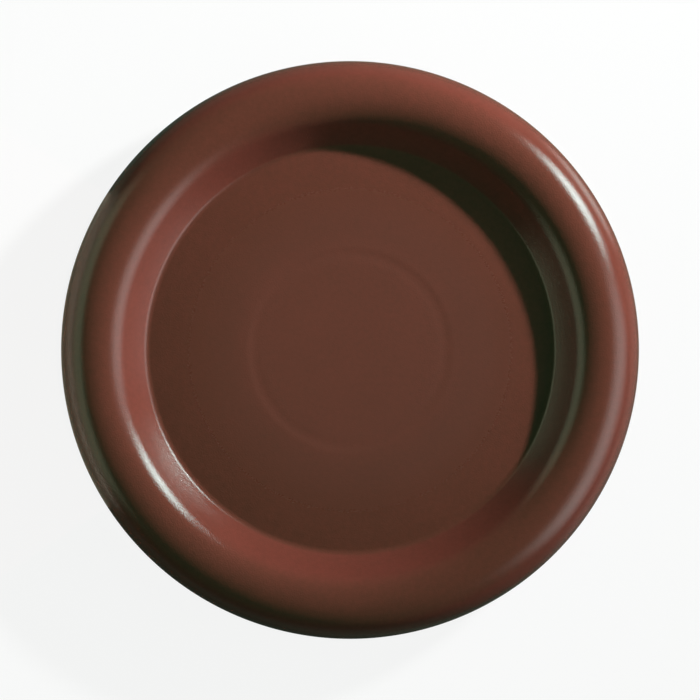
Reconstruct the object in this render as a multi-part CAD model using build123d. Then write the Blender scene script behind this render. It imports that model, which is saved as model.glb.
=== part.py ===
# Round plant saucer: a slip-cast stoneware dish with a hollow bead rim, a glaze coat over its
# top and outside, and stick-on rubber feet.
# Lengths are in millimetres. +Z is up, and the origin is on the ground, under the middle of the dish.
import os
from math import asin, atan2, degrees, sqrt

from build123d import *

# Finished dish, measured over the glaze
outer_diameter = 200.0
bead_diameter = 26.0
wall_run = 5.1
wall_curve_radius = 100.0
cove_radius = 3.0

# The dish is deepest at the floor's edge; the floor is level in the middle and falls to its edge
dish_depth = 11.3
floor_crown = 1.5

# Shallow ring in the floor, where the fired floor has settled over its support ring
floor_ring_radius = 33.0
floor_ring_width = 4.2
floor_ring_depth = 0.12

# Glaze coat, and the strip of bare clay left between it and the foot
glaze_thickness = 0.4
bare_margin = 3.0

# Stoneware body
casting_wall = 4.5
floor_thickness = 5.0
foot_width = 11.5
underside_fillet = 3.0
hollow_fillet = 1.5
support_ring_width = 4.0
support_root_fillet = 2.0
support_toe_fillet = 0.8
vent_diameter = 4.0
vent_count = 2
vent_start_angle = 0

# Rubber feet, and the adhesive discs that hold them
pad_diameter = 8.0
pad_thickness = 1.8
pad_edge_fillet = 0.6
pad_count = 4
pad_start_angle = 45
adhesive_thickness = 0.2
adhesive_setback = 0.2

# How far a cut runs past a face, and the most of a ring's height that its two fillets may take
cut_overrun = 1.0
fillet_share = 0.9

# Heights and radii that follow from the sizes above
full_turn = 360
half_turn = full_turn / 2
straight_up = half_turn / 2
straight_down = -straight_up
bead_radius = bead_diameter / 2
clay_bead_radius = bead_radius - glaze_thickness
rim_radius = outer_diameter / 2 - bead_radius
foot_height = adhesive_thickness + pad_thickness
foot_drop = sqrt(clay_bead_radius**2 - (foot_width / 2) ** 2)
bead_height = foot_height + foot_drop
floor_edge_height = bead_height + bead_radius - dish_depth
floor_edge_radius = rim_radius - bead_radius - wall_run
floor_height = floor_edge_height + floor_crown
clay_floor_height = floor_height - glaze_thickness
underside_height = floor_edge_height - glaze_thickness - floor_thickness
crown_start_radius = floor_ring_radius + floor_ring_width
crown_run = floor_edge_radius - crown_start_radius
crown_curve = (crown_run**2 + floor_crown**2) / (2 * floor_crown)
crown_edge_angle = degrees(asin(crown_run / crown_curve))
floor_ring_curve = ((floor_ring_width / 2) ** 2 + floor_ring_depth**2) / (2 * floor_ring_depth)
foot_edge_angle = degrees(asin(foot_drop / clay_bead_radius))
glaze_end_angle = foot_edge_angle - degrees(bare_margin / clay_bead_radius)


# The point at a given distance from each of two centres, to the left of the way between them
def point_from_two(first, first_distance, second, second_distance):
    way = second - first
    along = (first_distance**2 - second_distance**2 + way.length**2) / (2 * way.length)
    across = sqrt(first_distance**2 - along**2)
    forward = way.normalized()
    leftward = Vector(-forward.Y, forward.X)
    return first + forward * along + leftward * across


# The direction of one point seen from another, in degrees
def heading(origin, target):
    return degrees(atan2(target.Y - origin.Y, target.X - origin.X))


# Section centres, shared by the glaze and the clay below it: their curves run parallel
bead_centre = Vector(rim_radius, bead_height)
floor_edge = Vector(floor_edge_radius, floor_edge_height)
crown_centre = Vector(crown_start_radius, floor_height - crown_curve)
cove_centre = floor_edge + (floor_edge - crown_centre).normalized() * cove_radius
floor_ring_centre = Vector(floor_ring_radius, floor_height - floor_ring_depth + floor_ring_curve)
wall_centre = point_from_two(
    cove_centre,
    wall_curve_radius - cove_radius,
    bead_centre,
    wall_curve_radius + bead_radius,
)


# Section of the upper side at a depth under the glaze's surface, from the axis out over the bead:
# floor, shallow ring, falling floor, cove, hollow-curved wall and bead, each curve tangent to the next
def upper_side(depth, bead_end_angle):
    level = floor_height - depth
    ring_curve = floor_ring_curve + depth
    ring_half = sqrt(ring_curve**2 - (floor_ring_centre.Y - level) ** 2)
    ring_half_angle = degrees(asin(ring_half / ring_curve))
    cove_start = straight_down - crown_edge_angle
    wall_start = heading(wall_centre, cove_centre)
    wall_end = heading(wall_centre, bead_centre)
    bead_start = heading(bead_centre, wall_centre)
    return [
        Line((0, level), (floor_ring_radius - ring_half, level)),
        CenterArc(floor_ring_centre, ring_curve, straight_down - ring_half_angle, 2 * ring_half_angle),
        Line((floor_ring_radius + ring_half, level), (crown_start_radius, level)),
        CenterArc(crown_centre, crown_curve - depth, straight_up, -crown_edge_angle),
        CenterArc(cove_centre, cove_radius + depth, cove_start, wall_start - cove_start),
        CenterArc(wall_centre, wall_curve_radius + depth, wall_start, wall_end - wall_start),
        CenterArc(bead_centre, bead_radius - depth, bead_start, bead_end_angle - bead_start),
    ]


# Section of the underside, from the foot's outer edge in to the axis: foot, bead, fillet, floor and ring
def lower_side():
    fillet_height = underside_height - underside_fillet
    fillet_reach = clay_bead_radius + underside_fillet
    fillet_offset = sqrt(fillet_reach**2 - (bead_height - fillet_height) ** 2)
    fillet_centre = Vector(rim_radius - fillet_offset, fillet_height)
    fillet_start = heading(fillet_centre, bead_centre)
    bead_start = foot_edge_angle - half_turn
    bead_end = heading(bead_centre, fillet_centre)
    ring_outer = floor_ring_radius + support_ring_width / 2
    ring_inner = floor_ring_radius - support_ring_width / 2
    ring_height = underside_height - foot_height
    root = min(support_root_fillet, fillet_share * ring_height - support_toe_fillet)
    toe = support_toe_fillet
    return [
        Line((rim_radius + foot_width / 2, foot_height), (rim_radius - foot_width / 2, foot_height)),
        CenterArc(bead_centre, clay_bead_radius, bead_start, bead_end - bead_start),
        CenterArc(fillet_centre, underside_fillet, fillet_start, straight_up - fillet_start),
        FilletPolyline(
            (fillet_centre.X, underside_height),
            (ring_outer, underside_height),
            (ring_outer, foot_height),
            (ring_inner, foot_height),
            (ring_inner, underside_height),
            (0, underside_height),
            radius=[root, toe, toe, root],
        ),
    ]


# A section drawn in radius and height, turned about the dish's axis
def turned(outline):
    section = make_face(outline)
    return revolve(Plane.XZ * section, Axis.Z, full_turn)


# The hollow that draining the mould leaves in the rim: round, flat over the foot, one wall inside the clay
def rim_hollow():
    hollow_radius = clay_bead_radius - casting_wall
    hollow_floor = foot_height + casting_wall
    flat_half = sqrt(hollow_radius**2 - (bead_height - hollow_floor) ** 2)
    left = Vector(rim_radius - flat_half, hollow_floor)
    right = Vector(rim_radius + flat_half, hollow_floor)
    right_heading = heading(bead_centre, right)
    sweep = heading(bead_centre, left) - right_heading + full_turn
    section = make_face([Line(left, right), CenterArc(bead_centre, hollow_radius, right_heading, sweep)])
    section = fillet(section.vertices(), hollow_fillet)
    return revolve(Plane.XZ * section, Axis.Z, full_turn)


# One fired piece of clay: floor, wall, hollow rim, foot and support ring, vented through the foot;
# the strip of the bead under the glaze's edge is a face of its own, so that the glaze lies on whole faces
def saucer_body():
    axis_line = Line((0, underside_height), (0, clay_floor_height))
    glazed = upper_side(glaze_thickness, -glaze_end_angle)
    bare = CenterArc(bead_centre, clay_bead_radius, -glaze_end_angle, glaze_end_angle - foot_edge_angle)
    body = turned(glazed + [bare] + lower_side() + [axis_line])
    vent_length = casting_wall + 2 * cut_overrun
    vent = Cylinder(vent_diameter / 2, vent_length, align=(Align.CENTER, Align.CENTER, Align.MIN))
    vents = [
        Pos(0, 0, foot_height - cut_overrun) * place * vent
        for place in PolarLocations(rim_radius, vent_count, vent_start_angle)
    ]
    return body.cut(rim_hollow(), *vents)


# The glaze: an even skin on the clay, from the middle of the floor over the rim to its lower edge
def glaze_coat():
    outside = upper_side(0, -glaze_end_angle)
    inside = upper_side(glaze_thickness, -glaze_end_angle)
    axis_line = Line((0, clay_floor_height), (0, floor_height))
    lower_edge = Line(outside[-1] @ 1, inside[-1] @ 1)
    return turned(outside + inside + [axis_line, lower_edge])


# A flat rubber foot with a rounded lower edge, standing on the ground
def foot_pad():
    pad = Cylinder(pad_diameter / 2, pad_thickness, align=(Align.CENTER, Align.CENTER, Align.MIN))
    return fillet(pad.edges().group_by(Axis.Z)[0], pad_edge_fillet)


# The adhesive disc between a foot and the clay, cut a little smaller than the foot
def pad_adhesive():
    radius = pad_diameter / 2 - adhesive_setback
    disc = Cylinder(radius, adhesive_thickness, align=(Align.CENTER, Align.CENTER, Align.MIN))
    return Pos(0, 0, pad_thickness) * disc


# Every piece in its place, by name
def pieces():
    made = {"saucer_body": saucer_body(), "glaze_coat": glaze_coat()}
    places = PolarLocations(rim_radius, pad_count, pad_start_angle)
    for number, place in enumerate(places, start=1):
        made[f"foot_pad_{number}"] = place * foot_pad()
        made[f"pad_adhesive_{number}"] = place * pad_adhesive()
    return made


os.makedirs("parts", exist_ok=True)
for name, solid in pieces().items():
    solid.label = name
    export_step(solid, f"parts/{name}.step")
    print(f"{name}: {solid.volume:.0f} mm3")
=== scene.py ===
import math

import bmesh
import bpy
import numpy as np
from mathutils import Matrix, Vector


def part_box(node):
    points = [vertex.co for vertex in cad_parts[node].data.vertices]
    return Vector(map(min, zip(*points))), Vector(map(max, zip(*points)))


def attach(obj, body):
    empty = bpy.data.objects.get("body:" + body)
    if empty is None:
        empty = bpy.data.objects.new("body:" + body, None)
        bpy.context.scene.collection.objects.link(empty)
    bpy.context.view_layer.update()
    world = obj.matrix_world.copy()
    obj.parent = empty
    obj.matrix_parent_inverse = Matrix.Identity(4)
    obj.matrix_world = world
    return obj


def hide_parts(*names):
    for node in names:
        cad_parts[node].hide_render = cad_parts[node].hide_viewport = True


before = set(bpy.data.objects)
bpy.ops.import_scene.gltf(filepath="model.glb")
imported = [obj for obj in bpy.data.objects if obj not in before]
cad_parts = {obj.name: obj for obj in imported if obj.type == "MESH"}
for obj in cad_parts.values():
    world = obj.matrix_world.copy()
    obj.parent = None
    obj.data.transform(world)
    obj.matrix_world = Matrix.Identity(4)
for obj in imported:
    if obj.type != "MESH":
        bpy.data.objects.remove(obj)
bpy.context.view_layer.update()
scene = bpy.context.scene
scene.view_settings.view_transform = "Standard"
print("frame loaded:", len(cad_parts), "nodes")

# the finished dish over its glaze, in metres and degrees
dish = {
    "outerRadius": 0.100,
    "beadRadius": 0.013,
    "depth": 0.0113,       # rim top to the floor's edge
    "floorCrown": 0.0015,  # rise of the level middle over the floor's edge
    "crownStart": 0.0372,  # the floor falls outside this
    "floorEdge": 0.0689,   # where the floor turns up into the cove
    "coveRadius": 0.003,
    "coveTilt": 42.9,      # slope at the cove's end
    "wallTilt": 47.9,      # slope where the wall meets the bead
    "glaze": 0.0004,
    "footWidth": 0.0115,
    "columns": 300,        # facets round the dish
}

# rows of points along each stretch of the dish's section
sectionRows = {
    "middle": 8,
    "ring": 40,
    "crown": 26,
    "cove": 18,
    "wall": 40,
    "bead": 84,
    "glazeEdge": 16,
}

# faint ring in the floor, where the fired clay settled round its support ring
floorRing = {
    "stepRadius": 0.0348,
    "stepWidth": 0.0014,
    "stepDepth": 0.00008,
    "grooveRadius": 0.0327,
    "grooveWidth": 0.0016,
    "grooveDepth": 0.000045,
    "reach": 0.0056,       # its finer rows run this far past the groove and the step
}

# lower edge of the glaze, which wavers a little and ends in a soft roll
glazeEdge = {
    "bareMargin": 0.003,   # bare clay between the glaze and the foot
    "waver": 0.00035,
    "waves": ((5, 0.5, 0.6), (11, 0.3, 2.1), (23, 0.2, 4.0)),  # count round the rim, share, phase
    "rounding": 0.0005,
    "swell": 0.00008,
    "swellAt": 0.0009,     # distance of the roll's crest from the edge
    "swellWidth": 0.0005,
    "packedShare": 0.02,   # last share of the bead's arc, whose rows crowd towards the edge
}

# points closer than this are merged, and edges that turn by more than this are creases
mergeDistance = 1e-7
creaseAngle = math.radians(40)

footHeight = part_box("pad_adhesive_1")[1].z
rimRadius = dish["outerRadius"] - dish["beadRadius"]
clayBead = dish["beadRadius"] - dish["glaze"]
footDrop = math.sqrt(clayBead ** 2 - (dish["footWidth"] / 2) ** 2)
beadHeight = footHeight + footDrop
edgeHeight = beadHeight + dish["beadRadius"] - dish["depth"]
floorHeight = edgeHeight + dish["floorCrown"]
crownRun = dish["floorEdge"] - dish["crownStart"]
crownCurve = (crownRun ** 2 + dish["floorCrown"] ** 2) / (2 * dish["floorCrown"])
footAngle = math.asin(footDrop / clayBead)
coveTilt = math.radians(dish["coveTilt"])
wallTilt = math.radians(dish["wallTilt"])


# one step from 0 to 1, level at both ends: 3t^2 - 2t^3
def easeStep(share):
    share = np.clip(share, 0, 1)
    return share * share * (3 - 2 * share)


# drop of the floor at a radius: an eased step down inside the ring, plus a bell-shaped groove beside it
def ringDrop(radius):
    ring = floorRing
    inward = (ring["stepRadius"] - radius) / ring["stepWidth"]
    step = ring["stepDepth"] * easeStep((inward + 1) / 2)
    aside = (radius - ring["grooveRadius"]) / ring["grooveWidth"]
    return step + ring["grooveDepth"] * np.exp(-aside ** 2)


# top of the dish from the axis to the bead, as rows of radius, height and slope: level floor with its
# ring, its fall on a large circle, a round cove, then a wall whose height is the running sum of its
# evenly growing slope, scaled to end on the bead
def topSection():
    rows = sectionRows
    ringInner = floorRing["grooveRadius"] - floorRing["reach"]
    ringOuter = floorRing["stepRadius"] + floorRing["reach"]
    floorRadius = np.concatenate([
        np.linspace(0, ringInner, rows["middle"]),
        np.linspace(ringInner, ringOuter, rows["ring"])[1:],
        np.linspace(ringOuter, dish["floorEdge"], rows["crown"])[1:-1],
    ])
    outside = np.clip(floorRadius - dish["crownStart"], 0, None)
    floorSlope = -np.arcsin(outside / crownCurve)
    floorLevel = floorHeight - crownCurve * (1 - np.cos(floorSlope)) - ringDrop(floorRadius)
    edgeTilt = math.asin(crownRun / crownCurve)
    coveSlope = np.linspace(-edgeTilt, coveTilt, rows["cove"])
    coveRadius = dish["floorEdge"] + dish["coveRadius"] * (math.sin(edgeTilt) + np.sin(coveSlope))
    coveLevel = edgeHeight + dish["coveRadius"] * (math.cos(edgeTilt) - np.cos(coveSlope))
    wallEnd = rimRadius - dish["beadRadius"] * math.sin(wallTilt)
    wallTop = beadHeight + dish["beadRadius"] * math.cos(wallTilt)
    wallRadius = np.linspace(coveRadius[-1], wallEnd, rows["wall"])
    wallSlope = np.linspace(coveTilt, wallTilt, rows["wall"])
    grade = np.tan(wallSlope)
    rise = np.concatenate([[0], np.cumsum((grade[1:] + grade[:-1]) / 2 * np.diff(wallRadius))])
    closing = (wallTop - coveLevel[-1]) / rise[-1]
    wallLevel = coveLevel[-1] + rise * closing
    radius = np.concatenate([floorRadius, coveRadius[:-1], wallRadius[:-1]])
    height = np.concatenate([floorLevel, coveLevel[:-1], wallLevel[:-1]])
    slope = np.concatenate([floorSlope, coveSlope[:-1], wallSlope[:-1]])
    print("wall closes with its rise scaled by", round(closing, 4))
    return radius, height, slope


# a mesh from grids of radius and height, one column for each turn round a centre;
# rows that lie on the axis close to a point
def turnedMesh(name, radius, height, columns, centre=(0, 0)):
    turn = np.linspace(0, 2 * math.pi, columns, endpoint=False)
    radius = np.broadcast_to(radius, (radius.shape[0], columns))
    height = np.broadcast_to(height, radius.shape)
    across = centre[0] + radius * np.cos(turn)
    deep = centre[1] + radius * np.sin(turn)
    points = np.stack([across, deep, height], 2)
    index = np.arange(radius.size).reshape(radius.shape)
    ahead = np.roll(index, -1, 1)
    quads = np.stack([index[:-1], index[1:], ahead[1:], ahead[:-1]], 2).reshape(-1, 4)
    mesh = bpy.data.meshes.new(name)
    mesh.from_pydata(points.reshape(-1, 3), [], quads)
    shell = bmesh.new()
    shell.from_mesh(mesh)
    bmesh.ops.remove_doubles(shell, verts=shell.verts, dist=mergeDistance)
    bmesh.ops.recalc_face_normals(shell, faces=shell.faces)
    shell.to_mesh(mesh)
    shell.free()
    mesh.polygons.foreach_set("use_smooth", np.ones(len(mesh.polygons), bool))
    mesh.set_sharp_from_angle(angle=creaseAngle)
    piece = bpy.data.objects.new(name, mesh)
    scene.collection.objects.link(piece)
    return piece


# glaze: the top section, then the bead's circle down to a wavering edge, and back along the clay;
# the edge is a sum of sine waves round the rim, and the thickness, with a bell-shaped roll near the
# edge, falls to nothing there on a quarter circle
def glazeCoat():
    edge = glazeEdge
    columns = dish["columns"]
    turn = np.linspace(0, 2 * math.pi, columns, endpoint=False)
    counts, shares, phases = np.array(edge["waves"]).T[:, :, None]
    wave = np.sum(shares * np.sin(counts * turn + phases), 0)
    margin = edge["bareMargin"] + edge["waver"] * wave
    start = math.pi / 2 + wallTilt
    end = -footAngle + margin / clayBead
    along = np.concatenate([
        np.linspace(0, 1 - edge["packedShare"], sectionRows["bead"])[:-1],
        1 - edge["packedShare"] * np.linspace(1, 0, sectionRows["glazeEdge"]) ** 2,
    ])[:, None]
    angle = start + (end - start) * along
    toEdge = (angle - end) * clayBead
    fading = np.sqrt(1 - np.clip(1 - toEdge / edge["rounding"], 0, 1) ** 2)
    roll = edge["swell"] * np.exp(-((toEdge - edge["swellAt"]) / edge["swellWidth"]) ** 2)
    glazedBead = clayBead + (dish["glaze"] + roll) * fading
    radius, height, slope = topSection()
    # the side on the clay runs back with a third of the bead's rows and half of the top's
    backAngle = angle[-2::-3]
    backRadius = np.append((radius + dish["glaze"] * np.sin(slope))[::-2], 0)
    backHeight = (height - dish["glaze"] * np.cos(slope))[::-2]
    backHeight = np.append(backHeight, backHeight[-1])
    wide = np.ones((1, columns))
    stretches = [
        (radius[:, None] * wide, height[:, None] * wide),
        (rimRadius + glazedBead * np.cos(angle), beadHeight + glazedBead * np.sin(angle)),
        (rimRadius + clayBead * np.cos(backAngle), beadHeight + clayBead * np.sin(backAngle)),
        (backRadius[:, None] * wide, backHeight[:, None] * wide),
    ]
    grid = [np.concatenate(part) for part in zip(*stretches)]
    return turnedMesh("glazeCoat", *grid, columns)


# moulded rubber foot: a flat disc with a small dimple below, a rounded lower edge and slightly full sides
rubberFoot = {
    "count": 4,
    "lowerEdge": 0.0006,
    "upperEdge": 0.00015,
    "fullness": 0.00006,
    "dimpleDepth": 0.00012,
    "dimpleRadius": 0.0022,
    "columns": 72,
    "soleRows": 16,
    "lowerRows": 8,
    "sideRows": 10,
    "upperRows": 6,
}


# section in rows from the middle of the sole out and up to the middle of the top: the sole lifts as
# an eased step over the dimple's outer half, both edges are quarter circles, the side is a half sine
def footSection(radius, height):
    foot = rubberFoot
    soleRadius = np.linspace(0, radius - foot["lowerEdge"], foot["soleRows"])
    inward = (foot["dimpleRadius"] - soleRadius) / (foot["dimpleRadius"] / 2)
    soleLevel = foot["dimpleDepth"] * easeStep(inward)
    low = np.linspace(-math.pi / 2, 0, foot["lowerRows"])
    lowRadius = radius - foot["fullness"] - foot["lowerEdge"] * (1 - np.cos(low))
    lowLevel = foot["lowerEdge"] * (1 + np.sin(low))
    climb = np.linspace(0, 1, foot["sideRows"])[1:-1]
    sideRadius = radius + foot["fullness"] * (np.sin(math.pi * climb) - 1)
    sideLevel = foot["lowerEdge"] + (height - foot["lowerEdge"] - foot["upperEdge"]) * climb
    high = np.linspace(0, math.pi / 2, foot["upperRows"])
    highRadius = radius - foot["fullness"] - foot["upperEdge"] * (1 - np.cos(high))
    highLevel = height - foot["upperEdge"] * (1 - np.sin(high))
    return (
        np.concatenate([soleRadius[:-1], lowRadius, sideRadius, highRadius, [0]]),
        np.concatenate([soleLevel[:-1], lowLevel, sideLevel, highLevel, [height]]),
    )


# a foot in its CAD node's place, as wide and as high as that node
def footPiece(number):
    low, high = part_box(f"foot_pad_{number}")
    radius, height = footSection((high.x - low.x) / 2, high.z - low.z)
    centre = ((low.x + high.x) / 2, (low.y + high.y) / 2)
    grid = (radius[:, None], (low.z + height)[:, None])
    return turnedMesh(f"rubberFoot{number}", *grid, rubberFoot["columns"], centre)


# sRGB hex to linear colour: straight near black, a power curve above
def linear(hexColour):
    parts = np.array([int(hexColour[i:i + 2], 16) for i in (1, 3, 5)]) / 255
    parts = np.where(parts <= 0.04045, parts / 12.92, ((parts + 0.055) / 1.055) ** 2.4)
    return (*parts, 1.0)


# adds a node; an input that is an output socket is linked, anything else is set
def addNode(tree, kind, inputs=None, **settings):
    node = tree.nodes.new(kind)
    for key, value in settings.items():
        setattr(node, key, value)
    for key, value in (inputs or {}).items():
        if isinstance(value, bpy.types.NodeSocket):
            tree.links.new(value, node.inputs[key])
        else:
            node.inputs[key].default_value = value
    return node


def newMaterial(name):
    material = bpy.data.materials.new(name)
    material.use_nodes = True
    tree = material.node_tree
    return material, tree, tree.nodes["Principled BSDF"]


# iron-brown satin glaze, dipped and fired: an even skin whose fine crystals spread a lamp's streak
# and break its edges into sparkles; barely clouded, and darker where it pools at the lower edge;
# the floor's lighter middle is painted light
glazeFinish = {
    "thin": "#623229",
    "thick": "#5B2F26",
    "runOff": (0.75, 0.97),      # upward part of the normal: thin below the first, thick over the second
    "middle": (0.035, 0.042),    # radii between which the floor's lighter middle, painted light, ends
    "paintedLightShare": 0.5,          # of the thick colour in that painted-light middle
    "pooled": "#3B2119",
    "poolShare": 0.8,            # of the pooled colour at the lower edge
    "poolLow": 0.0034,           # heights between which the pooled edge fades out
    "poolHigh": 0.0056,
    "cloudSize": 0.016,
    "mottleSize": 0.0016,
    "mottleShare": 2.0,          # strength of the mottle beside the clouds
    "crystalSize": 0.0005,       # coarser than life, so that the grain shows
    "crystalHeight": 0.000033,
    "crystalRange": (0.3, 0.7),  # of the noise, over which the gloss changes
    "peelSize": 0.003,
    "peelHeight": 0.000004,
    "smooth": 0.125,             # least and most roughness on the rim
    "dull": 0.15,
    "floorDull": 0.27,           # added roughness of the floor, which is satin beside the glossier rim
    "floorFade": (0.0420, 0.0695),
    "rimGrain": 2.0,             # times that the crystals stand higher outside the floor
    "coveDull": 0.06,            # added roughness along the cove
    "coveBand": (0.0690, 0.0702, 0.0708, 0.0713),   # radii: starts, full, full, ends
    "patchDull": 0.11,           # added roughness of a patch low on the wall, where the glaze ran thin
    "patchBand": (0.0719, 0.0728, 0.0738, 0.0770),
    "patchAzimuth": 216,
    "patchHalfAngles": (6, 23),  # full up to the first, gone at the second
    "ior": 1.68,
}


def glazeMaterial():
    look = glazeFinish
    material, tree, shader = newMaterial("satin iron-brown stoneware glaze")
    coordinates = addNode(tree, "ShaderNodeTexCoord").outputs
    place = coordinates["Object"]
    level = addNode(tree, "ShaderNodeSeparateXYZ", {"Vector": place}).outputs["Z"]
    upward = addNode(tree, "ShaderNodeSeparateXYZ", {"Vector": coordinates["Normal"]}).outputs["Z"]
    flat = addNode(tree, "ShaderNodeVectorMath", {
        0: place, 1: (1, 1, 0),
    }, operation="MULTIPLY").outputs["Vector"]
    radius = addNode(tree, "ShaderNodeVectorMath", {0: flat}, operation="LENGTH").outputs["Value"]

    lying = addNode(tree, "ShaderNodeMapRange", {
        "Value": upward, "From Min": look["runOff"][0], "From Max": look["runOff"][1],
    }, interpolation_type="SMOOTHSTEP")
    # painted light: inside the ring the floor takes less of the thick colour, so its middle is lighter
    body = addNode(tree, "ShaderNodeMapRange", {
        "Value": radius, "From Min": look["middle"][0], "From Max": look["middle"][1],
        "To Min": look["paintedLightShare"], "To Max": lying.outputs["Result"],
    }, interpolation_type="SMOOTHSTEP")
    cloud = addNode(tree, "ShaderNodeTexNoise", {
        "Vector": place, "Scale": 1 / look["cloudSize"], "Detail": 3.0,
    })
    mottle = addNode(tree, "ShaderNodeTexNoise", {
        "Vector": place, "Scale": 1 / look["mottleSize"], "Detail": 2.0,
    })
    # both noises vary about one half, so half their weights is taken away again
    uneven = addNode(tree, "ShaderNodeMath", {
        0: mottle.outputs["Fac"], 1: look["mottleShare"], 2: cloud.outputs["Fac"],
    }, operation="MULTIPLY_ADD")
    centred = addNode(tree, "ShaderNodeMath", {
        0: uneven.outputs["Value"], 1: (1 + look["mottleShare"]) / 2,
    }, operation="SUBTRACT")
    clouded = addNode(tree, "ShaderNodeMath", {
        0: centred.outputs["Value"], 1: body.outputs["Result"],
    }, operation="ADD")
    tone = addNode(tree, "ShaderNodeMix", {
        "Factor": clouded.outputs["Value"], "A": linear(look["thin"]), "B": linear(look["thick"]),
    }, data_type="RGBA", clamp_factor=False)
    pool = addNode(tree, "ShaderNodeMapRange", {
        "Value": level, "From Min": look["poolHigh"], "From Max": look["poolLow"],
        "To Max": look["poolShare"],
    }, interpolation_type="SMOOTHSTEP")
    colour = addNode(tree, "ShaderNodeMix", {
        "Factor": pool.outputs["Result"], "A": tone.outputs["Result"], "B": linear(look["pooled"]),
    }, data_type="RGBA")

    crystal = addNode(tree, "ShaderNodeTexNoise", {
        "Vector": place, "Scale": 1 / look["crystalSize"], "Detail": 2.0,
    })
    gloss = addNode(tree, "ShaderNodeMapRange", {
        "Value": crystal.outputs["Fac"],
        "From Min": look["crystalRange"][0], "From Max": look["crystalRange"][1],
        "To Min": look["smooth"], "To Max": look["dull"],
    })
    bands = []
    for starts, risen, falling, ends in (look["coveBand"], look["patchBand"]):
        rising = addNode(tree, "ShaderNodeMapRange", {
            "Value": radius, "From Min": starts, "From Max": risen,
        }, interpolation_type="SMOOTHSTEP")
        bands.append(addNode(tree, "ShaderNodeMapRange", {
            "Value": radius, "From Min": falling, "From Max": ends,
            "To Min": rising.outputs["Result"], "To Max": 0.0,
        }, interpolation_type="SMOOTHSTEP").outputs["Result"])
    coveBand, patchBand = bands
    # the patch fades out round the wall with the cosine of the angle from its middle
    turn = math.radians(look["patchAzimuth"])
    outward = addNode(tree, "ShaderNodeVectorMath", {0: flat}, operation="NORMALIZE")
    facing = addNode(tree, "ShaderNodeVectorMath", {
        0: outward.outputs["Vector"], 1: (math.cos(turn), math.sin(turn), 0),
    }, operation="DOT_PRODUCT")
    full, gone = np.cos(np.radians(look["patchHalfAngles"]))
    patch = addNode(tree, "ShaderNodeMapRange", {
        "Value": facing.outputs["Value"], "From Min": gone, "From Max": full, "To Max": patchBand,
    }, interpolation_type="SMOOTHSTEP")
    coveRough = addNode(tree, "ShaderNodeMath", {
        0: coveBand, 1: look["coveDull"], 2: gloss.outputs["Result"],
    }, operation="MULTIPLY_ADD")
    wallRough = addNode(tree, "ShaderNodeMath", {
        0: patch.outputs["Result"], 1: look["patchDull"], 2: coveRough.outputs["Value"],
    }, operation="MULTIPLY_ADD")
    floorRough = addNode(tree, "ShaderNodeMapRange", {
        "Value": radius, "From Min": look["floorFade"][0], "From Max": look["floorFade"][1],
        "To Min": look["floorDull"], "To Max": 0.0,
    }, interpolation_type="SMOOTHSTEP")
    rough = addNode(tree, "ShaderNodeMath", {
        0: wallRough.outputs["Value"], 1: floorRough.outputs["Result"],
    }, operation="ADD")

    peel = addNode(tree, "ShaderNodeTexNoise", {
        "Vector": place, "Scale": 1 / look["peelSize"], "Detail": 1.0,
    })
    peelBump = addNode(tree, "ShaderNodeBump", {
        "Height": peel.outputs["Fac"], "Distance": look["peelHeight"], "Strength": 1.0,
    })
    grain = addNode(tree, "ShaderNodeMapRange", {
        "Value": radius, "From Min": look["floorFade"][0], "From Max": look["floorFade"][1],
        "To Min": 1.0, "To Max": look["rimGrain"],
    }, interpolation_type="SMOOTHSTEP")
    grainHeight = addNode(tree, "ShaderNodeMath", {
        0: crystal.outputs["Fac"], 1: grain.outputs["Result"],
    }, operation="MULTIPLY")
    bump = addNode(tree, "ShaderNodeBump", {
        "Height": grainHeight.outputs["Value"], "Distance": look["crystalHeight"], "Strength": 1.0,
        "Normal": peelBump.outputs["Normal"],
    })
    tree.links.new(colour.outputs["Result"], shader.inputs["Base Color"])
    tree.links.new(rough.outputs["Value"], shader.inputs["Roughness"])
    tree.links.new(bump.outputs["Normal"], shader.inputs["Normal"])
    shader.inputs["IOR"].default_value = look["ior"]
    return material


# bare stoneware, sponged and fired: matt tan clay with iron specks, fine grit, wiping lines
# round the axis and a toasted band under the glaze
clayFinish = {
    "light": "#AD8463",
    "dark": "#94694B",
    "toasted": "#7C4C33",
    "toastShare": 0.8,
    "toastRadius": 0.0920,  # outside this, the clay is toasted up to the glaze
    "toastFade": 0.004,
    "speck": "#3E2A20",
    "speckShare": 0.75,
    "speckRange": (0.68, 0.73),  # of the noise, from bare clay to a full speck
    "cloudSize": 0.012,
    "speckSize": 0.0012,
    "gritSize": 0.0004,
    "gritHeight": 0.00003,
    "lineSpacing": 0.0007,
    "lineHeight": 0.00002,
    "roughness": 0.86,
}


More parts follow.
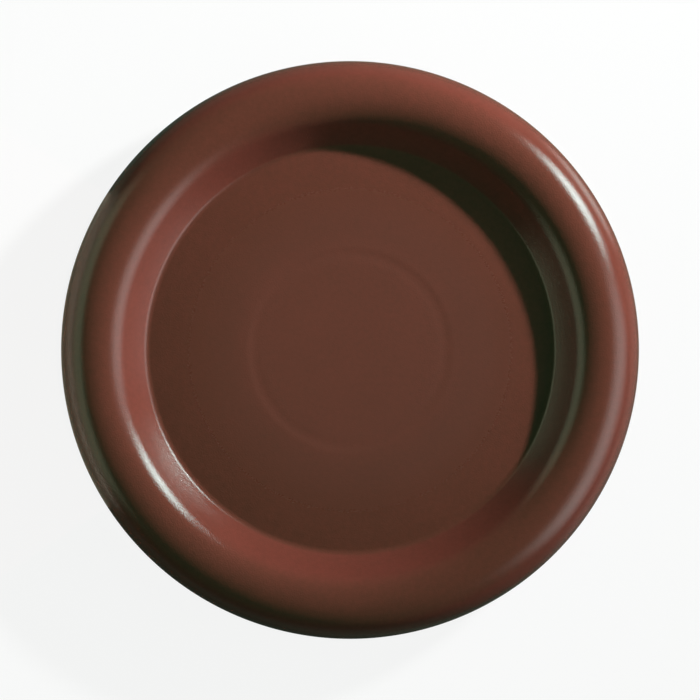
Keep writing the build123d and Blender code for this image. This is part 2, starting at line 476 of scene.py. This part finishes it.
def clayMaterial():
    look = clayFinish
    material, tree, shader = newMaterial("bare fired stoneware")
    place = addNode(tree, "ShaderNodeTexCoord").outputs["Object"]
    flat = addNode(tree, "ShaderNodeVectorMath", {
        0: place, 1: (1, 1, 0),
    }, operation="MULTIPLY").outputs["Vector"]
    radius = addNode(tree, "ShaderNodeVectorMath", {0: flat}, operation="LENGTH").outputs["Value"]
    cloud = addNode(tree, "ShaderNodeTexNoise", {
        "Vector": place, "Scale": 1 / look["cloudSize"], "Detail": 6.0,
    })
    tone = addNode(tree, "ShaderNodeMix", {
        "Factor": cloud.outputs["Fac"], "A": linear(look["light"]), "B": linear(look["dark"]),
    }, data_type="RGBA")
    toast = addNode(tree, "ShaderNodeMapRange", {
        "Value": radius, "From Min": look["toastRadius"],
        "From Max": look["toastRadius"] + look["toastFade"], "To Max": look["toastShare"],
    }, interpolation_type="SMOOTHSTEP")
    toasted = addNode(tree, "ShaderNodeMix", {
        "Factor": toast.outputs["Result"], "A": tone.outputs["Result"], "B": linear(look["toasted"]),
    }, data_type="RGBA")
    speck = addNode(tree, "ShaderNodeTexNoise", {
        "Vector": place, "Scale": 1 / look["speckSize"], "Detail": 1.0,
    })
    spot = addNode(tree, "ShaderNodeMapRange", {
        "Value": speck.outputs["Fac"],
        "From Min": look["speckRange"][0], "From Max": look["speckRange"][1],
        "To Max": look["speckShare"],
    })
    colour = addNode(tree, "ShaderNodeMix", {
        "Factor": spot.outputs["Result"], "A": toasted.outputs["Result"], "B": linear(look["speck"]),
    }, data_type="RGBA")
    # a Wave texture's rings repeat every 2 pi / 20 of its scaled length
    lines = addNode(tree, "ShaderNodeTexWave", {
        "Vector": flat, "Scale": math.tau / 20 / look["lineSpacing"],
        "Distortion": 1.5, "Detail": 2.0, "Detail Scale": 0.4,
    }, wave_type="RINGS", rings_direction="Z")
    lineBump = addNode(tree, "ShaderNodeBump", {
        "Height": lines.outputs["Fac"], "Distance": look["lineHeight"], "Strength": 1.0,
    })
    grit = addNode(tree, "ShaderNodeTexNoise", {
        "Vector": place, "Scale": 1 / look["gritSize"], "Detail": 3.0,
    })
    bump = addNode(tree, "ShaderNodeBump", {
        "Height": grit.outputs["Fac"], "Distance": look["gritHeight"], "Strength": 1.0,
        "Normal": lineBump.outputs["Normal"],
    })
    tree.links.new(colour.outputs["Result"], shader.inputs["Base Color"])
    tree.links.new(bump.outputs["Normal"], shader.inputs["Normal"])
    shader.inputs["Roughness"].default_value = look["roughness"]
    return material


# moulded black rubber: charcoal with a faint dusty bloom and the fine pebble of a spark-eroded mould
rubberFinish = {
    "deep": "#1B1A19",
    "bloom": "#2B2927",
    "roughness": (0.5, 0.8),  # without bloom, and under a full bloom
    "bloomSize": 0.0025,
    "pebbleSize": 0.00018,
    "pebbleHeight": 0.000012,
}


def rubberMaterial():
    look = rubberFinish
    material, tree, shader = newMaterial("moulded black rubber")
    place = addNode(tree, "ShaderNodeTexCoord").outputs["Object"]
    bloom = addNode(tree, "ShaderNodeTexNoise", {
        "Vector": place, "Scale": 1 / look["bloomSize"], "Detail": 4.0,
    })
    colour = addNode(tree, "ShaderNodeMix", {
        "Factor": bloom.outputs["Fac"], "A": linear(look["deep"]), "B": linear(look["bloom"]),
    }, data_type="RGBA")
    gloss = addNode(tree, "ShaderNodeMapRange", {
        "Value": bloom.outputs["Fac"], "To Min": look["roughness"][0], "To Max": look["roughness"][1],
    })
    pebble = addNode(tree, "ShaderNodeTexNoise", {
        "Vector": place, "Scale": 1 / look["pebbleSize"], "Detail": 1.0,
    })
    bump = addNode(tree, "ShaderNodeBump", {
        "Height": pebble.outputs["Fac"], "Distance": look["pebbleHeight"], "Strength": 1.0,
    })
    tree.links.new(colour.outputs["Result"], shader.inputs["Base Color"])
    tree.links.new(gloss.outputs["Result"], shader.inputs["Roughness"])
    tree.links.new(bump.outputs["Normal"], shader.inputs["Normal"])
    return material


# acrylic adhesive film: milky, with small trapped bubbles and a soft shine at its cut edge
adhesiveFinish = {
    "clear": "#D3CDBD",
    "cloudy": "#BDB6A4",
    "bubbleSize": 0.0006,
    "bubbleHeight": 0.00001,
    "roughness": 0.4,
    "ior": 1.47,
}


def adhesiveMaterial():
    look = adhesiveFinish
    material, tree, shader = newMaterial("acrylic adhesive film")
    place = addNode(tree, "ShaderNodeTexCoord").outputs["Object"]
    bubble = addNode(tree, "ShaderNodeTexVoronoi", {
        "Vector": place, "Scale": 1 / look["bubbleSize"],
    }).outputs["Distance"]
    colour = addNode(tree, "ShaderNodeMix", {
        "Factor": bubble, "A": linear(look["cloudy"]), "B": linear(look["clear"]),
    }, data_type="RGBA")
    bump = addNode(tree, "ShaderNodeBump", {
        "Height": bubble, "Distance": look["bubbleHeight"], "Strength": 1.0,
    })
    tree.links.new(colour.outputs["Result"], shader.inputs["Base Color"])
    tree.links.new(bump.outputs["Normal"], shader.inputs["Normal"])
    shader.inputs["Roughness"].default_value = look["roughness"]
    shader.inputs["IOR"].default_value = look["ior"]
    return material


glaze = glazeCoat()
glaze.data.materials.append(glazeMaterial())
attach(glaze, "root")
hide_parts("glaze_coat")
print("glaze coat:", len(glaze.data.polygons), "faces")

rubber = rubberMaterial()
for number in range(1, rubberFoot["count"] + 1):
    foot = footPiece(number)
    foot.data.materials.append(rubber)
    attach(foot, "root")
    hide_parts(f"foot_pad_{number}")
print("rubber feet made:", rubberFoot["count"])

# the clay and the adhesive discs keep their CAD shapes
finishes = {"saucer_body": clayMaterial(), "pad_adhesive": adhesiveMaterial()}
for name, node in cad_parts.items():
    for start, finish in finishes.items():
        if name.startswith(start):
            node.data.materials.clear()
            node.data.materials.append(finish)
print("clay and adhesive finished")

# pale matt card to the camera, lifted towards white with the dish's shadow still on it;
# the glaze mirrors little of it, over a dark glossy table top
floorLook = {
    "half": 40.0,
    "colour": "#D2D2D2",
    "cameraLift": 0.88,
    "table": "#40554A",
    "tableRoughness": 0.16,
    "tableSpecular": 1.0,
    "glossLift": 0.03,
}


# share of a ray's view that is the pale background: all for camera and transmission rays,
# the gloss lift for glossy rays
def paleShare(tree, glossLift):
    path = addNode(tree, "ShaderNodeLightPath").outputs
    seen = addNode(tree, "ShaderNodeMath", {
        0: path["Is Camera Ray"], 1: path["Is Transmission Ray"],
    }, operation="MAXIMUM")
    return addNode(tree, "ShaderNodeMath", {
        0: path["Is Glossy Ray"], 1: glossLift, 2: seen.outputs["Value"],
    }, operation="MULTIPLY_ADD").outputs["Value"]


# one square under the dish
def studioFloor():
    half = floorLook["half"]
    corners = [(-half, -half, 0), (half, -half, 0), (half, half, 0), (-half, half, 0)]
    mesh = bpy.data.meshes.new("floor")
    mesh.from_pydata(corners, [], [(0, 1, 2, 3)])
    material, tree, shader = newMaterial("pale matt card")
    shader.inputs["Base Color"].default_value = linear(floorLook["table"])
    shader.inputs["Roughness"].default_value = floorLook["tableRoughness"]
    shader.inputs["Specular IOR Level"].default_value = floorLook["tableSpecular"]
    card = addNode(tree, "ShaderNodeBsdfDiffuse", {"Color": linear(floorLook["colour"])})
    white = addNode(tree, "ShaderNodeEmission", {"Color": (1, 1, 1, 1), "Strength": 1.0})
    pale = addNode(tree, "ShaderNodeMixShader", {
        0: floorLook["cameraLift"], 1: card.outputs["BSDF"], 2: white.outputs["Emission"],
    })
    share = paleShare(tree, floorLook["glossLift"])
    mixed = addNode(tree, "ShaderNodeMixShader", {
        0: share, 1: shader.outputs["BSDF"], 2: pale.outputs["Shader"],
    })
    tree.links.new(mixed.outputs["Shader"], tree.nodes["Material Output"].inputs["Surface"])
    mesh.materials.append(material)
    floor = bpy.data.objects.new("floor", mesh)
    scene.collection.objects.link(floor)


# matt grey paper on the table to the left, turned up at its far edge, with a glow of its own for
# the glaze to mirror; the camera doesn't see it, and it casts no shadow
paper = {
    "near": 0.103,
    "far": 0.19,
    "edgeHeight": 0.033,
    "azimuth": 180,
    "halfAngle": 33,
    "lift": 0.0003,
    "colour": "#938D7E",
    "glow": 0.6,
    "roughness": 1.0,
    "columns": 25,
}


# a profile of radius and height carried on an arc round the axis
def greyPaper():
    swing = np.linspace(-1, 1, paper["columns"])
    turn = np.radians(paper["azimuth"] + paper["halfAngle"] * swing)
    radius = np.array([paper["near"], paper["far"], paper["far"]])[:, None]
    height = np.array([paper["lift"], paper["lift"], paper["edgeHeight"]])[:, None]
    across, deep = radius * np.cos(turn), radius * np.sin(turn)
    points = np.stack([across, deep, np.broadcast_to(height, across.shape)], 2)
    index = np.arange(across.size).reshape(across.shape)
    low, high = index[:-1], index[1:]
    quads = np.stack([low[:, :-1], high[:, :-1], high[:, 1:], low[:, 1:]], 2).reshape(-1, 4)
    mesh = bpy.data.meshes.new("paper")
    mesh.from_pydata(points.reshape(-1, 3), [], quads)
    material, _, shader = newMaterial("matt grey paper")
    shader.inputs["Base Color"].default_value = linear(paper["colour"])
    shader.inputs["Emission Color"].default_value = linear(paper["colour"])
    shader.inputs["Emission Strength"].default_value = paper["glow"]
    shader.inputs["Roughness"].default_value = paper["roughness"]
    mesh.materials.append(material)
    sheet = bpy.data.objects.new("paper", mesh)
    sheet.visible_camera = sheet.visible_shadow = sheet.visible_transmission = False
    scene.collection.objects.link(sheet)


# lamps: direction in degrees from +X, distance on the floor, height, panel size in metres and radiance;
# the key lamp lights the dish, and the glaze mirrors a wide diffuser in its place
keyPlace = {"azimuth": 34, "distance": 1.10, "height": 0.486}
lamps = {
    "keyLamp": {
        **keyPlace, "size": (0.132, 0.064), "radiance": 111,
        "aim": (-0.082, 0.126), "spread": 52.4, "mirrored": False,
    },
    "keyDiffuser": {
        **keyPlace, "size": (0.41, 0.46), "radiance": 10.5,
        "colour": "#DEFFFA", "shape": "ELLIPSE", "lights": False,
    },
    "sideSoftbox": {
        "azimuth": -15, "distance": 0.765, "height": 0.47, "size": (1.08, 1.02), "radiance": 1.45,
        "softEdges": (0.2, 0.48),
    },
    "leftCard": {
        "azimuth": 178, "distance": 0.745, "height": 0.3165, "size": (1.00, 0.42), "radiance": 0.66,
        "colour": "#F6FFD3", "softEdges": (0.04, 0.05),
    },
}

# what a lamp is where its own entry doesn't say
plainLamp = {
    "aim": (0, 0),      # spot on the floor that it faces
    "spread": 180,      # of its beam, in degrees
    "colour": "#FFFFFF",
    "shape": "RECTANGLE",
    "softEdges": None,  # shares of its width and height over which it dims
    "lights": True,     # matt surfaces
    "mirrored": True,   # in glossy surfaces
}


# a softbox dims towards its edges: the product of eased steps across its width and across its height
def softenEdges(data, shares):
    data.use_nodes = True
    tree = data.node_tree
    across = addNode(tree, "ShaderNodeNewGeometry").outputs["Parametric"]
    places = addNode(tree, "ShaderNodeSeparateXYZ", {"Vector": across}).outputs
    steps = []
    for axis, share in zip("XY", shares):
        offset = addNode(tree, "ShaderNodeMath", {0: places[axis], 1: 0.5}, operation="SUBTRACT")
        away = addNode(tree, "ShaderNodeMath", {0: offset.outputs["Value"]}, operation="ABSOLUTE")
        steps.append(addNode(tree, "ShaderNodeMapRange", {
            "Value": away.outputs["Value"], "From Min": 0.5, "From Max": 0.5 - share,
        }, interpolation_type="SMOOTHSTEP").outputs["Result"])
    both = addNode(tree, "ShaderNodeMath", {0: steps[0], 1: steps[1]}, operation="MULTIPLY")
    tree.links.new(both.outputs["Value"], tree.nodes["Emission"].inputs["Strength"])


# a panel that faces its spot; its power is its radiance times pi, its width and its height
def studioLamp(name):
    lamp = {**plainLamp, **lamps[name]}
    data = bpy.data.lights.new(name, "AREA")
    data.shape = lamp["shape"]
    data.size, data.size_y = lamp["size"]
    data.energy = lamp["radiance"] * math.pi * data.size * data.size_y
    data.spread = math.radians(lamp["spread"])
    data.color = linear(lamp["colour"])[:3]
    if lamp["softEdges"]:
        softenEdges(data, lamp["softEdges"])
    turn = math.radians(lamp["azimuth"])
    across, deep = lamp["distance"] * math.cos(turn), lamp["distance"] * math.sin(turn)
    place = Vector((across, deep, lamp["height"]))
    gaze = Vector((*lamp["aim"], floorHeight)) - place
    panel = bpy.data.objects.new(name, data)
    panel.location = place
    panel.rotation_euler = gaze.to_track_quat("-Z", "Y").to_euler()
    panel.visible_camera = False
    panel.visible_glossy = lamp["mirrored"]
    panel.visible_diffuse = lamp["lights"]
    scene.collection.objects.link(panel)


# dim room: grey-green at the horizon, greener overhead; the rise is the upward part of a direction
room = {
    "horizon": "#84A890",
    "overhead": "#50FFB4",
    "rise": (0.08, 0.6),
    "strength": 0.112,
    "white": 0.95,
    "glossLift": 0.0,
}


# the camera sees white in the room's place
def dimRoom():
    world = bpy.data.worlds.new("dimRoom")
    world.use_nodes = True
    tree = world.node_tree
    way = addNode(tree, "ShaderNodeTexCoord").outputs["Generated"]
    rise = addNode(tree, "ShaderNodeMapRange", {
        "Value": addNode(tree, "ShaderNodeSeparateXYZ", {"Vector": way}).outputs["Z"],
        "From Min": room["rise"][0], "From Max": room["rise"][1],
    }, interpolation_type="SMOOTHSTEP")
    colour = addNode(tree, "ShaderNodeMix", {
        "Factor": rise.outputs["Result"],
        "A": linear(room["horizon"]), "B": linear(room["overhead"]),
    }, data_type="RGBA")
    dim = tree.nodes["Background"]
    tree.links.new(colour.outputs["Result"], dim.inputs["Color"])
    dim.inputs["Strength"].default_value = room["strength"]
    white = addNode(tree, "ShaderNodeBackground", {
        "Color": (1, 1, 1, 1), "Strength": room["white"],
    })
    share = paleShare(tree, room["glossLift"])
    mixed = addNode(tree, "ShaderNodeMixShader", {
        0: share, 1: dim.outputs["Background"], 2: white.outputs["Background"],
    })
    tree.links.new(mixed.outputs["Shader"], tree.nodes["World Output"].inputs["Surface"])
    scene.world = world


studioFloor()
greyPaper()
for name in lamps:
    studioLamp(name)
dimRoom()
print("studio lit by", len(lamps), "lamps")

# camera straight above the middle of the dish
shot = {"height": 1.0, "lens": 148.5, "sensor": 36, "clipEnd": 100}

camera = bpy.data.objects.new("camera", bpy.data.cameras.new("camera"))
camera.data.lens = shot["lens"]
camera.data.sensor_width = shot["sensor"]
camera.data.clip_end = shot["clipEnd"]
camera.location = (0, 0, beadHeight + shot["height"])
scene.collection.objects.link(camera)
scene.camera = camera
